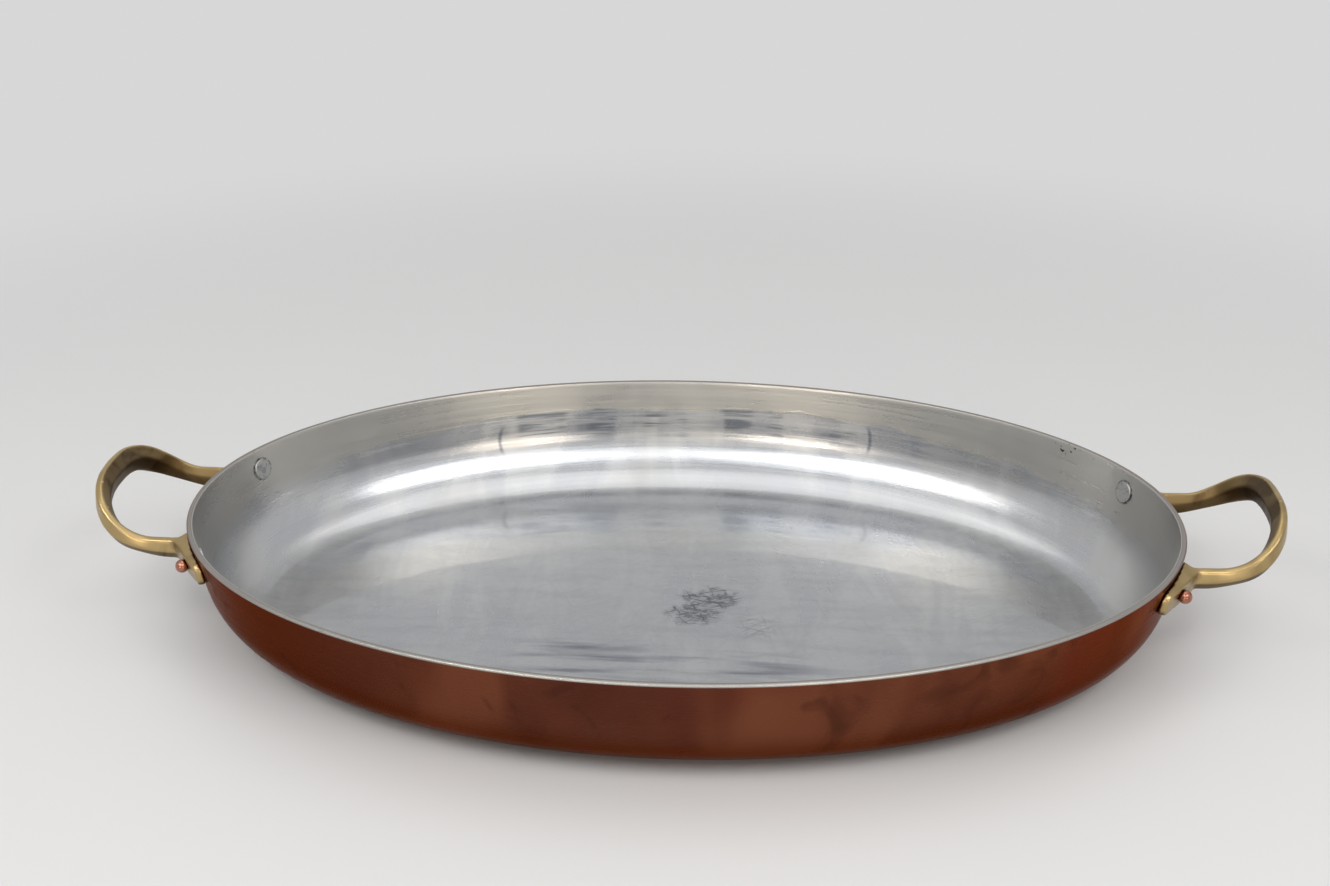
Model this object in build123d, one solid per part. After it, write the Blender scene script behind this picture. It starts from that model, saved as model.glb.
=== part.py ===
from build123d import *
import math
import os

# Oval gratin pan: a tinned copper dish with two cast brass loop handles, held by copper rivets.
# Millimetres. Origin at the middle of the flat base, X along the long axis, Z up.
os.makedirs("parts", exist_ok=True)

# Copper dish
rim_length = 400.0
rim_width = 260.0
dish_height = 48.0
wall_flare = 11.3
cove_radius = 31.0
copper_thickness = 2.0
rim_round = 0.6

# Tin lining, wiped over the whole inside
tin_thickness = 0.4
tin_edge_round = 0.25

# Loop of the handle, on its centre line; reach is measured outward from the rim's end
loop_reach = 33.4
loop_width = 62.6
loop_end_depth = 19.3
loop_squareness = 2.7
apex_above_rim = 8.5
root_below_rim = 9.1
root_inside_rim = 9.0
rise_sharpness = 3.7

# Section of the handle's bar, a six-sided casting whose height changes along it
bar_width = 6.6
bar_ridge_width = 2.6
bar_height_at_root = 10.5
bar_height_on_leg = 7.6
bar_height_at_corner = 11.0
bar_height_at_end = 11.0
bar_lean = 12.0
leg_stations = 4
end_stations = 9

# Pads that spread from the handle's roots along the wall, sized from the rivet
pad_to_root = 14.5
pad_to_tip = 13.0
pad_above_rivet = 7.0
pad_below_rivet = 7.0
pad_tip_drop = 2.6
pad_tip_rise = 0.4
pad_tip_round = 4.2
pad_draft = 9.0
pad_root_thickness = 6.6
pad_tip_thickness = 2.0
pad_sink = 4.0

# Rivets, each one through pad, copper and tin
rivet_from_middle = 41.0
rivet_below_rim = 9.0
shank_diameter = 4.0
rivet_hole_clearance = 0.05
outer_head_foot_diameter = 4.4
outer_head_height = 4.2
inner_head_diameter = 9.0
inner_head_height = 1.0
inner_head_round = 0.4

flare = math.radians(wall_flare)
tool_margin = 20.0


def wall_oval(outset, height):
    # Outline of the wall at one height, grown outward by a thickness along the wall's normal
    shift = outset / math.cos(flare) - (dish_height - height) * math.tan(flare)
    return Pos(0, 0, height) * Ellipse(rim_length / 2 + shift, rim_width / 2 + shift)


def bowl(outset, top):
    # Solid that fills the dish up to a height, with its outside moved by a thickness
    body = loft([wall_oval(outset, -outset), wall_oval(outset, top)], ruled=True)
    base_edge = body.edges().group_by(Axis.Z)[0]
    return fillet(base_edge, cove_radius + outset)


def dish():
    hollow = bowl(-copper_thickness, dish_height + tool_margin)
    shell = bowl(0, dish_height) - hollow
    outer_edge = shell.edges().group_by(Axis.Z)[-1].sort_by(Edge.length)[-1]
    return fillet(outer_edge, rim_round)


def lining():
    hollow = bowl(-copper_thickness - tin_thickness, dish_height + tool_margin)
    coat = bowl(-copper_thickness, dish_height) - hollow
    inner_edge = coat.edges().group_by(Axis.Z)[-1].sort_by(Edge.length)[0]
    return fillet(inner_edge, tin_edge_round)


def rivet_plane():
    # On the outside of the wall at the right rear rivet, Z outward along the wall's normal
    height = dish_height - rivet_below_rim
    lean = rivet_below_rim * math.tan(flare)
    half_length = rim_length / 2 - lean
    half_width = rim_width / 2 - lean
    x = half_length * math.sqrt(1 - (rivet_from_middle / half_width) ** 2)
    level = Vector(x / half_length ** 2, rivet_from_middle / half_width ** 2, 0).normalized()
    outward = level * math.cos(flare) - Vector(0, 0, math.sin(flare))
    along = Vector(-level.Y, level.X, 0)
    return Plane((x, rivet_from_middle, height), x_dir=along, z_dir=outward)


def pad_face_angle():
    # The pad's outer face leans toward the wall from its root to its tip
    drop = pad_root_thickness - pad_tip_thickness
    return math.degrees(math.atan2(drop, pad_to_root + pad_to_tip))


def pad_thickness_at_rivet():
    share = pad_to_root / (pad_to_root + pad_to_tip)
    return pad_root_thickness - share * (pad_root_thickness - pad_tip_thickness)


def pad():
    # Plate that lies on the wall, thick at the bar's root and thin at its rounded tip
    corners = [
        (-pad_to_root, -pad_below_rivet),
        (pad_to_tip, pad_tip_rise - pad_below_rivet),
        (pad_to_tip, pad_above_rivet - pad_tip_drop),
        (-pad_to_root, pad_above_rivet),
    ]
    plate = make_face(Polyline(*corners, close=True))
    tip_corners = plate.vertices().group_by(Axis.X)[-1]
    plate = Pos(0, 0, -pad_sink) * fillet(tip_corners, pad_tip_round)
    block = extrude(plate, amount=tool_margin, taper=pad_draft)
    face = Pos(0, 0, pad_thickness_at_rivet()) * Rot(0, pad_face_angle(), 0)
    block -= face * Pos(0, 0, tool_margin * 2) * Box(tool_margin * 6, tool_margin * 6, tool_margin * 4)
    solid = rivet_plane() * block
    return solid - bowl(0, dish_height + tool_margin)


def loop_point(station):
    # Station 0 is the front root, 1 the front shoulder, 2 the apex and 4 the rear root
    side = -1 if station <= 2 else 1
    step = min(station, 4 - station)
    root_x = rim_length / 2 - root_inside_rim
    apex_x = rim_length / 2 + loop_reach
    shoulder_x = apex_x - loop_end_depth
    if step <= 1:
        x = root_x + (shoulder_x - root_x) * step
        y = loop_width / 2
    else:
        angle = (step - 1) * math.pi / 2
        power = 2 / loop_squareness
        x = shoulder_x + loop_end_depth * math.sin(angle) ** power
        y = loop_width / 2 * abs(math.cos(angle)) ** power
    share = max(0, (x - root_x) / (apex_x - root_x))
    rise = (apex_above_rim + root_below_rim) * share ** rise_sharpness
    return Vector(x, side * y, dish_height - root_below_rim + rise)


def bar_height(station):
    step = min(station, 4 - station)
    if step <= 1:
        return bar_height_at_root + (bar_height_on_leg - bar_height_at_root) * step
    if step <= 1.5:
        return bar_height_on_leg + (bar_height_at_corner - bar_height_on_leg) * (step - 1) * 2
    return bar_height_at_corner + (bar_height_at_end - bar_height_at_corner) * (step - 1.5) * 2


def bar_section(station):
    # Six-sided, square to the loop's path, its top leaning away from the pan
    nudge = 0.01
    tangent = (loop_point(min(station + nudge, 4)) - loop_point(max(station - nudge, 0))).normalized()
    outward = tangent.cross(Vector(0, 0, 1)).normalized()
    upward = outward.cross(tangent)
    lean = math.radians(bar_lean)
    across = outward * math.cos(lean) - upward * math.sin(lean)
    half_width = bar_width / 2
    half_ridge = bar_ridge_width / 2
    half_height = bar_height(station) / 2
    outline = Polyline(
        (half_width, 0),
        (half_ridge, half_height),
        (-half_ridge, half_height),
        (-half_width, 0),
        (-half_ridge, -half_height),
        (half_ridge, -half_height),
        close=True,
    )
    return Plane(loop_point(station), x_dir=across, z_dir=tangent) * make_face(outline)


def bar():
    leg = [index / leg_stations for index in range(leg_stations)]
    end = [1 + index / end_stations for index in range(end_stations)]
    front = leg + end
    stations = front + [2] + [4 - station for station in reversed(front)]
    return loft([bar_section(station) for station in stations])


def handle_right():
    rear_pad = pad()
    front_pad = mirror(rear_pad, about=Plane.XZ)
    loop = bar() - bowl(0, dish_height + tool_margin)
    body = loop + rear_pad + front_pad
    for hole in rivet_holes():
        body -= hole
    return body


def rivet_holes():
    radius = shank_diameter / 2 + rivet_hole_clearance
    hole = rivet_plane() * Cylinder(radius, tool_margin * 2)
    return [hole, mirror(hole, about=Plane.XZ)]


def rivet():
    # Right rear rivet: flat tinned head inside, shank, domed head on the pad
    inside = bowl(-copper_thickness - tin_thickness, dish_height)
    lining_depth = copper_thickness + tin_thickness
    outer_seat = pad_thickness_at_rivet()
    head = Pos(0, 0, -lining_depth - inner_head_height) * Cylinder(
        inner_head_diameter / 2, inner_head_height * 2, align=(Align.CENTER, Align.CENTER, Align.MIN)
    )
    rim_edge = head.edges().group_by(Axis.Z)[0]
    head = fillet(rim_edge, inner_head_round)
    shank_length = lining_depth + outer_seat + inner_head_height / 2
    shank = Pos(0, 0, -lining_depth - inner_head_height / 2) * Cylinder(
        shank_diameter / 2, shank_length, align=(Align.CENTER, Align.CENTER, Align.MIN)
    )
    dome_radius = ((outer_head_foot_diameter / 2) ** 2 + outer_head_height ** 2) / (2 * outer_head_height)
    ball = Pos(0, 0, outer_head_height - dome_radius) * Sphere(dome_radius)
    cap = ball & Cylinder(
        dome_radius * 2, outer_head_height * 2, align=(Align.CENTER, Align.CENTER, Align.MIN)
    )
    cap = Pos(0, 0, outer_seat) * Rot(0, pad_face_angle(), 0) * cap
    seated_head = (rivet_plane() * head) & inside
    return seated_head + rivet_plane() * (shank + cap)


def save(shape, name):
    shape.label = name
    export_step(shape, f"parts/{name}.step")
    print(name, "solids", len(shape.solids()), "volume", round(shape.volume, 1))


right_handle = handle_right()
left_handle = mirror(right_handle, about=Plane.YZ)
right_rear_rivet = rivet()
right_front_rivet = mirror(right_rear_rivet, about=Plane.XZ)

pan_body = dish()
tin_lining = lining()
for hole in rivet_holes():
    pan_body -= hole
    pan_body -= mirror(hole, about=Plane.YZ)
    tin_lining -= hole
    tin_lining -= mirror(hole, about=Plane.YZ)

save(pan_body, "pan_body")
save(tin_lining, "tin_lining")
save(right_handle, "handle_right")
save(left_handle, "handle_left")
save(right_rear_rivet, "rivet_right_rear")
save(right_front_rivet, "rivet_right_front")
save(mirror(right_rear_rivet, about=Plane.YZ), "rivet_left_rear")
save(Rot(0, 0, 180) * right_rear_rivet, "rivet_left_front")
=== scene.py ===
import math
import bpy
import bmesh
from mathutils import Matrix, Vector


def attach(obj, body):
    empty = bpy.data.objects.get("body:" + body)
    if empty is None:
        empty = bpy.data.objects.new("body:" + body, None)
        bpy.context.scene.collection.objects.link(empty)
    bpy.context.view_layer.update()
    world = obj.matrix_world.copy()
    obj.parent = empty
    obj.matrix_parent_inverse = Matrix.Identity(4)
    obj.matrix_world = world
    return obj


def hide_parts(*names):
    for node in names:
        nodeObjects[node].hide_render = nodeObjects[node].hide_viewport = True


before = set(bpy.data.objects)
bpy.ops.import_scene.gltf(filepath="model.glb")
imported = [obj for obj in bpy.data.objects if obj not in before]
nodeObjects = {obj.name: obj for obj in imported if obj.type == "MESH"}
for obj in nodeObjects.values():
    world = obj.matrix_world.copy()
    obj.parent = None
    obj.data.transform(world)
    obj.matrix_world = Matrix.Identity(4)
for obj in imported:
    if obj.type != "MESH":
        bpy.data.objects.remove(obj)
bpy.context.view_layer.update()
scene = bpy.context.scene
scene.view_settings.view_transform = "Standard"


# Small helpers for node trees

def feed(tree, socket, value):
    if isinstance(value, bpy.types.NodeSocket):
        tree.links.new(value, socket)
    elif value is not None:
        socket.default_value = value


def calc(tree, operation, first, second=None, third=None):
    node = tree.nodes.new("ShaderNodeMath")
    node.operation = operation
    for socket, value in zip(node.inputs, (first, second, third)):
        feed(tree, socket, value)
    return node.outputs[0]


def remap(tree, value, fromLow, fromHigh, toLow=0.0, toHigh=1.0, smooth=False):
    node = tree.nodes.new("ShaderNodeMapRange")
    node.interpolation_type = "SMOOTHSTEP" if smooth else "LINEAR"
    for socket, amount in zip(node.inputs, (value, fromLow, fromHigh, toLow, toHigh)):
        feed(tree, socket, amount)
    return node.outputs[0]


def addNode(tree, kind, **settings):
    node = tree.nodes.new(kind)
    for name, value in settings.items():
        setattr(node, name, value)
    return node


def addInput(tree, name, kind, value=None):
    socket = tree.interface.new_socket(name=name, in_out="INPUT", socket_type=kind)
    if value is not None:
        socket.default_value = value
    return socket.identifier


# Geometry Nodes pieces are made plain meshes before anything else touches them

def bakeTree(name, tree, values):
    piece = bpy.data.objects.new(name, bpy.data.meshes.new(name))
    scene.collection.objects.link(piece)
    return shapeWith(piece, tree, values)


def shapeWith(piece, tree, values):
    modifier = piece.modifiers.new("shape", "NODES")
    modifier.node_group = tree
    for item in tree.interface.items_tree:
        if item.item_type == "SOCKET" and item.in_out == "INPUT" and item.name in values:
            modifier[item.identifier] = values[item.name]
    bakeModifiers(piece)
    paint(piece, values["Material"])
    return piece


def paint(piece, material):
    piece.data.materials.clear()
    piece.data.materials.append(material)
    for face in piece.data.polygons:
        face.material_index = 0


def bakeModifiers(piece):
    bpy.context.view_layer.update()
    graph = bpy.context.evaluated_depsgraph_get()
    shaped = piece.evaluated_get(graph)
    mesh = bpy.data.meshes.new_from_object(shaped, preserve_all_data_layers=True, depsgraph=graph)
    piece.modifiers.clear()
    piece.data = mesh
    mesh.name = piece.name
    return piece


def closeAndTurnOut(piece, distance=0.00001):
    shape = bmesh.new()
    shape.from_mesh(piece.data)
    bmesh.ops.remove_doubles(shape, verts=shape.verts, dist=distance)
    bmesh.ops.recalc_face_normals(shape, faces=shape.faces)
    shape.to_mesh(piece.data)
    shape.free()
    for face in piece.data.polygons:
        face.use_smooth = True


# Oval dish: flat floor, cove and flared wall from one rule, used for the copper and for the tin

dish = {
    "halfLength": 0.200,
    "halfWidth": 0.130,
    "height": 0.048,
    "flare": math.radians(11.3),
    "coveRadius": 0.031,
    "copperThickness": 0.0020,
    "tinThickness": 0.0004,
    "rimRound": 0.0009,  # how far the rounding reaches down the side
    "tinEdgeRound": 0.00015,
    "rimBand": 0.0005,
    "sharpAngle": math.radians(45),
    "tinSkinShare": 0.95,  # keeps the tin's back just off the copper
    "aroundCount": 288,
    "profileCount": 60,
    "flatEnd": 0.30,  # share of the profile's points on the floor
    "coveEnd": 0.68,  # share of them up to the wall's foot
    "waveDepth": 0.00010,
    "tinWaveFactor": 1.6,
    "waveScale": 26.0,
    "waveFadeBelowRim": 0.004,
    "waveFadeAboveBase": (0.0002, 0.003),
    "copperSeed": 3.0,
    "tinSeed": 8.0,
}


def buildOvalTree():
    tree = bpy.data.node_groups.new("ovalDish", "GeometryNodeTree")
    addInput(tree, "Half Length", "NodeSocketFloat", 0.2)
    addInput(tree, "Half Width", "NodeSocketFloat", 0.13)
    addInput(tree, "Height", "NodeSocketFloat", 0.05)
    addInput(tree, "Flare", "NodeSocketFloat", 0.2)
    addInput(tree, "Cove Radius", "NodeSocketFloat", 0.03)
    addInput(tree, "Outset", "NodeSocketFloat", 0.0)
    addInput(tree, "Around Count", "NodeSocketInt", 128)
    addInput(tree, "Profile Count", "NodeSocketInt", 32)
    addInput(tree, "Wave Depth", "NodeSocketFloat", 0.0)
    addInput(tree, "Wave Scale", "NodeSocketFloat", 20.0)
    addInput(tree, "Seed", "NodeSocketFloat", 0.0)
    addInput(tree, "Material", "NodeSocketMaterial")
    tree.interface.new_socket(name="Geometry", in_out="OUTPUT", socket_type="NodeSocketGeometry")
    given = addNode(tree, "NodeGroupInput").outputs
    grid = addNode(tree, "GeometryNodeMeshGrid")
    grid.inputs["Size X"].default_value = 1.0
    grid.inputs["Size Y"].default_value = 1.0
    feed(tree, grid.inputs["Vertices X"], given["Around Count"])
    feed(tree, grid.inputs["Vertices Y"], given["Profile Count"])
    place = addNode(tree, "ShaderNodeSeparateXYZ")
    feed(tree, place.inputs[0], addNode(tree, "GeometryNodeInputPosition").outputs[0])
    turn = calc(tree, "MULTIPLY", calc(tree, "ADD", place.outputs["X"], 0.5), 2 * math.pi)
    along = calc(tree, "ADD", place.outputs["Y"], 0.5)
    # each share runs from 0 to 1 over its own part of the profile
    floorShare = remap(tree, along, 0.0, dish["flatEnd"])
    coveShare = remap(tree, along, dish["flatEnd"], dish["coveEnd"])
    wallShare = remap(tree, along, dish["coveEnd"], 1.0)
    tangent = calc(tree, "TANGENT", given["Flare"])
    cosine = calc(tree, "COSINE", given["Flare"])
    sine = calc(tree, "SINE", given["Flare"])
    radius = calc(tree, "ADD", given["Cove Radius"], given["Outset"])
    aboveCove = calc(tree, "SUBTRACT", given["Height"], given["Cove Radius"])
    coveInset = calc(tree, "MULTIPLY_ADD", aboveCove, tangent,
                     calc(tree, "DIVIDE", given["Cove Radius"], cosine))
    sweep = calc(tree, "SUBTRACT", math.pi / 2, given["Flare"])
    bend = calc(tree, "MULTIPLY_ADD", coveShare, sweep, -math.pi / 2)
    wallFoot = calc(tree, "SUBTRACT", given["Cove Radius"], calc(tree, "MULTIPLY", radius, sine))
    wallRise = calc(tree, "MULTIPLY", wallShare, calc(tree, "SUBTRACT", given["Height"], wallFoot))
    outward = calc(tree, "MULTIPLY_ADD", radius, calc(tree, "COSINE", bend),
                   calc(tree, "MULTIPLY", wallRise, tangent))
    outward = calc(tree, "SUBTRACT", outward, coveInset)
    level = calc(tree, "MULTIPLY_ADD", radius, calc(tree, "SINE", bend),
                 calc(tree, "ADD", wallRise, given["Cove Radius"]))
    x = calc(tree, "MULTIPLY", calc(tree, "ADD", given["Half Length"], outward), floorShare)
    y = calc(tree, "MULTIPLY", calc(tree, "ADD", given["Half Width"], outward), floorShare)
    spot = addNode(tree, "ShaderNodeCombineXYZ")
    feed(tree, spot.inputs[0], calc(tree, "MULTIPLY", x, calc(tree, "COSINE", turn)))
    feed(tree, spot.inputs[1], calc(tree, "MULTIPLY", y, calc(tree, "SINE", turn)))
    feed(tree, spot.inputs[2], level)
    shaped = addNode(tree, "GeometryNodeSetPosition")
    feed(tree, shaped.inputs["Geometry"], grid.outputs["Mesh"])
    feed(tree, shaped.inputs["Position"], spot.outputs[0])
    merged = addNode(tree, "GeometryNodeMergeByDistance")
    feed(tree, merged.inputs["Geometry"], shaped.outputs[0])
    merged.inputs["Distance"].default_value = 0.00002
    # hand-raised metal is never quite true: a shallow wave that fades out at the base and the rim
    noise = addNode(tree, "ShaderNodeTexNoise", noise_dimensions="4D")
    feed(tree, noise.inputs["W"], given["Seed"])
    feed(tree, noise.inputs["Scale"], given["Wave Scale"])
    noise.inputs["Detail"].default_value = 1.0
    height = addNode(tree, "ShaderNodeSeparateXYZ")
    feed(tree, height.inputs[0], addNode(tree, "GeometryNodeInputPosition").outputs[0])
    nearRim = calc(tree, "SUBTRACT", given["Height"], dish["waveFadeBelowRim"])
    fade = remap(tree, height.outputs["Z"], nearRim, given["Height"], 1.0, 0.0)
    fade = calc(tree, "MULTIPLY", fade, remap(tree, height.outputs["Z"], *dish["waveFadeAboveBase"]))
    amount = calc(tree, "MULTIPLY", calc(tree, "SUBTRACT", noise.outputs[0], 0.5), given["Wave Depth"])
    amount = calc(tree, "MULTIPLY", amount, fade)
    push = addNode(tree, "ShaderNodeVectorMath", operation="SCALE")
    feed(tree, push.inputs[0], addNode(tree, "GeometryNodeInputNormal").outputs[0])
    feed(tree, push.inputs["Scale"], amount)
    waved = addNode(tree, "GeometryNodeSetPosition")
    feed(tree, waved.inputs["Geometry"], merged.outputs[0])
    feed(tree, waved.inputs["Offset"], push.outputs[0])
    return finishTree(tree, waved.outputs[0], given["Material"])


def finishTree(tree, geometry, material):
    real = addNode(tree, "GeometryNodeRealizeInstances")
    smooth = addNode(tree, "GeometryNodeSetShadeSmooth")
    painted = addNode(tree, "GeometryNodeSetMaterial")
    feed(tree, real.inputs[0], geometry)
    feed(tree, smooth.inputs[0], real.outputs[0])
    feed(tree, painted.inputs[0], smooth.outputs[0])
    feed(tree, painted.inputs["Material"], material)
    feed(tree, addNode(tree, "NodeGroupOutput").inputs[0], painted.outputs[0])
    return tree


def makeDishSkin(name, outset, waveDepth, seed, material):
    return bakeTree(name, ovalTree, {
        "Half Length": dish["halfLength"],
        "Half Width": dish["halfWidth"],
        "Height": dish["height"],
        "Flare": dish["flare"],
        "Cove Radius": dish["coveRadius"],
        "Outset": outset,
        "Around Count": dish["aroundCount"] + 1,
        "Profile Count": dish["profileCount"],
        "Wave Depth": waveDepth,
        "Wave Scale": dish["waveScale"],
        "Seed": seed,
        "Material": material,
    })


def outsetOf(vert):
    # level distance from the rim's outer oval, less than 0 inside it
    x = vert.co.x / dish["halfLength"]
    y = vert.co.y / dish["halfWidth"]
    slope = math.hypot(x / dish["halfLength"], y / dish["halfWidth"])
    return (x * x + y * y - 1) / (2 * slope)


def giveThickness(piece, outset, thickness, inward, rounding):
    closeAndTurnOut(piece)
    wall = piece.modifiers.new("wall", "SOLIDIFY")
    wall.thickness = thickness
    wall.offset = -1.0 if inward else 1.0
    wall.use_even_offset = True
    bakeModifiers(piece)
    # the rim is cut off level, and only the edge of the made surface, which a hand touches, is rounded
    shape = bmesh.new()
    shape.from_mesh(piece.data)
    top = {vert for vert in shape.verts if vert.co.z > dish["height"] - dish["rimBand"]}
    for vert in top:
        vert.co.z = dish["height"]
    rounded = []
    for edge in shape.edges:
        if top.issuperset(edge.verts) and edge.calc_face_angle() > dish["sharpAngle"]:
            middle = (outsetOf(edge.verts[0]) + outsetOf(edge.verts[1])) / 2
            if abs(middle - outset / math.cos(dish["flare"])) < thickness / 2:
                rounded.append(edge)
    bmesh.ops.bevel(shape, geom=rounded, offset=rounding, offset_type="OFFSET", segments=3, profile=0.5,
                    affect="EDGES")
    shape.to_mesh(piece.data)
    shape.free()
    closeAndTurnOut(piece, 0.000001)
    piece.data.set_sharp_from_angle(angle=dish["sharpAngle"])


# Materials

def newMaterial(name):
    material = bpy.data.materials.new(name)
    material.use_nodes = True
    tree = material.node_tree
    shader = tree.nodes["Principled BSDF"]
    where = addNode(tree, "ShaderNodeTexCoord").outputs["Object"]
    return material, tree, shader, where


def blendColour(tree, share, first, second, mode="MIX"):
    node = addNode(tree, "ShaderNodeMix", data_type="RGBA", blend_type=mode)
    feed(tree, node.inputs[0], share)
    feed(tree, node.inputs[6], first)
    feed(tree, node.inputs[7], second)
    return node.outputs[2]


def vectorCalc(tree, operation, first, second=None):
    node = addNode(tree, "ShaderNodeVectorMath", operation=operation)
    feed(tree, node.inputs[0], first)
    feed(tree, node.inputs[1], second)
    return node.outputs["Value"] if operation in ("LENGTH", "DISTANCE", "DOT_PRODUCT") else node.outputs[0]


def noiseAt(tree, where, scale, detail, distortion=0.0):
    noise = addNode(tree, "ShaderNodeTexNoise")
    feed(tree, noise.inputs["Vector"], where)
    feed(tree, noise.inputs["Scale"], scale)
    feed(tree, noise.inputs["Detail"], detail)
    feed(tree, noise.inputs["Distortion"], distortion)
    return noise.outputs["Fac"]


def newEffect(name, inputs, output, kind="NodeSocketFloat"):
    effect = bpy.data.node_groups.new(name, "ShaderNodeTree")
    for label, socketKind, value in inputs:
        addInput(effect, label, socketKind, value)
    effect.interface.new_socket(name=output, in_out="OUTPUT", socket_type=kind)
    given = addNode(effect, "NodeGroupInput").outputs
    result = addNode(effect, "NodeGroupOutput").inputs[0]
    return effect, given, result


def useEffect(tree, effect, values):
    node = addNode(tree, "ShaderNodeGroup")
    node.node_tree = effect
    for name, value in values.items():
        feed(tree, node.inputs[name], value)
    return node.outputs[0]


# Soft-edged patches: tarnish, smudges and finger marks

def buildSoftPatches():
    effect, given, result = newEffect("softPatches", (
        ("Vector", "NodeSocketVector", None),
        ("Stretch", "NodeSocketVector", (1.0, 1.0, 1.0)),
        ("Scale", "NodeSocketFloat", 20.0),
        ("Detail", "NodeSocketFloat", 3.0),
        ("Warp", "NodeSocketFloat", 0.4),
        ("Low", "NodeSocketFloat", 0.45),
        ("High", "NodeSocketFloat", 0.65),
    ), "Mask")
    spread = vectorCalc(effect, "MULTIPLY", given["Vector"], given["Stretch"])
    noise = noiseAt(effect, spread, given["Scale"], given["Detail"], given["Warp"])
    feed(effect, result, remap(effect, noise, given["Low"], given["High"], smooth=True))
    return effect


# Streaks that run round the oval, as a cloth or a polishing wheel leaves them

def buildOvalStreaks():
    effect, given, result = newEffect("ovalStreaks", (
        ("Vector", "NodeSocketVector", None),
        ("Around", "NodeSocketFloat", 2.0),
        ("Across", "NodeSocketFloat", 260.0),
        ("Low", "NodeSocketFloat", 0.4),
        ("High", "NodeSocketFloat", 0.6),
    ), "Mask")
    place = addNode(effect, "ShaderNodeSeparateXYZ")
    feed(effect, place.inputs[0], given["Vector"])
    x = calc(effect, "DIVIDE", place.outputs["X"], dish["halfLength"])
    y = calc(effect, "DIVIDE", place.outputs["Y"], dish["halfWidth"])
    squares = calc(effect, "ADD", calc(effect, "MULTIPLY", x, x), calc(effect, "MULTIPLY", y, y))
    # the small term keeps the division sound in the very middle
    reach = calc(effect, "SQRT", calc(effect, "ADD", squares, 0.0001))
    turn = calc(effect, "DIVIDE", given["Around"], reach)
    depth = calc(effect, "MULTIPLY_ADD", reach, dish["halfLength"], place.outputs["Z"])
    spot = addNode(effect, "ShaderNodeCombineXYZ")
    feed(effect, spot.inputs[0], calc(effect, "MULTIPLY", x, turn))
    feed(effect, spot.inputs[1], calc(effect, "MULTIPLY", y, turn))
    feed(effect, spot.inputs[2], calc(effect, "MULTIPLY", depth, given["Across"]))
    noise = noiseAt(effect, spot.outputs[0], 1.0, 4.0, 0.3)
    feed(effect, result, remap(effect, noise, given["Low"], given["High"], smooth=True))
    return effect


# Thin broken lines in one direction

def buildHairScratches():
    effect, given, result = newEffect("hairScratches", (
        ("Vector", "NodeSocketVector", None),
        ("Turn", "NodeSocketFloat", 0.0),
        ("Scale", "NodeSocketFloat", 300.0),
        ("Length", "NodeSocketFloat", 14.0),
        ("Width", "NodeSocketFloat", 0.03),
    ), "Mask")
    turned = addNode(effect, "ShaderNodeVectorRotate", rotation_type="Z_AXIS")
    feed(effect, turned.inputs["Vector"], given["Vector"])
    feed(effect, turned.inputs["Angle"], given["Turn"])
    stretch = addNode(effect, "ShaderNodeCombineXYZ")
    feed(effect, stretch.inputs[0], calc(effect, "DIVIDE", given["Scale"], given["Length"]))
    feed(effect, stretch.inputs[1], given["Scale"])
    feed(effect, stretch.inputs[2], given["Scale"])
    drawn = vectorCalc(effect, "MULTIPLY", turned.outputs[0], stretch.outputs[0])
    line = calc(effect, "ABSOLUTE", calc(effect, "SUBTRACT", noiseAt(effect, drawn, 1.0, 1.0), 0.5))
    line = remap(effect, line, 0.0, given["Width"], 1.0, 0.0)
    broken = remap(effect, noiseAt(effect, drawn, 0.35, 2.0), 0.5, 0.62, smooth=True)
    feed(effect, result, calc(effect, "MULTIPLY", line, broken))
    return effect


# Fine grain of the surface, added to a height of the material's own

def buildMetalGrain():
    effect, given, result = newEffect("metalGrain", (
        ("Vector", "NodeSocketVector", None),
        ("Scale", "NodeSocketFloat", 700.0),
        ("Grain", "NodeSocketFloat", 0.5),
        ("Height", "NodeSocketFloat", 0.0),
        ("Strength", "NodeSocketFloat", 0.1),
        ("Distance", "NodeSocketFloat", 0.0003),
    ), "Normal", "NodeSocketVector")
    fine = noiseAt(effect, given["Vector"], given["Scale"], 3.0)
    height = calc(effect, "MULTIPLY_ADD", fine, given["Grain"], given["Height"])
    bump = addNode(effect, "ShaderNodeBump")
    feed(effect, bump.inputs["Strength"], given["Strength"])
    feed(effect, bump.inputs["Distance"], given["Distance"])
    feed(effect, bump.inputs["Height"], height)
    feed(effect, result, bump.outputs[0])
    return effect


# Distance to the nearest rivet, the four being mirror images of one

rivetPlace = {
    "fromMiddle": 0.041,
    "belowRim": 0.009,
    "innerHeadRadius": 0.0045,
}


def rivetSpot(depth):
    lean = rivetPlace["belowRim"] * math.tan(dish["flare"])
    halfLength = dish["halfLength"] - lean
    halfWidth = dish["halfWidth"] - lean
    y = rivetPlace["fromMiddle"]
    x = halfLength * math.sqrt(1 - (y / halfWidth) ** 2)
    level = Vector((x / halfLength ** 2, y / halfWidth ** 2, 0)).normalized()
    outward = level * math.cos(dish["flare"]) - Vector((0, 0, math.sin(dish["flare"])))
    return Vector((x, y, dish["height"] - rivetPlace["belowRim"])) - outward * depth


def buildRivetDistance():
    effect, given, result = newEffect("rivetDistance", (
        ("Vector", "NodeSocketVector", None),
        ("Spot", "NodeSocketVector", (0.0, 0.0, 0.0)),
    ), "Distance")
    folded = vectorCalc(effect, "ABSOLUTE", given["Vector"])
    feed(effect, result, vectorCalc(effect, "DISTANCE", folded, given["Spot"]))
    return effect


softPatches = buildSoftPatches()
ovalStreaks = buildOvalStreaks()
hairScratches = buildHairScratches()
metalGrain = buildMetalGrain()
rivetDistance = buildRivetDistance()
print("shared effects made")


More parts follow.
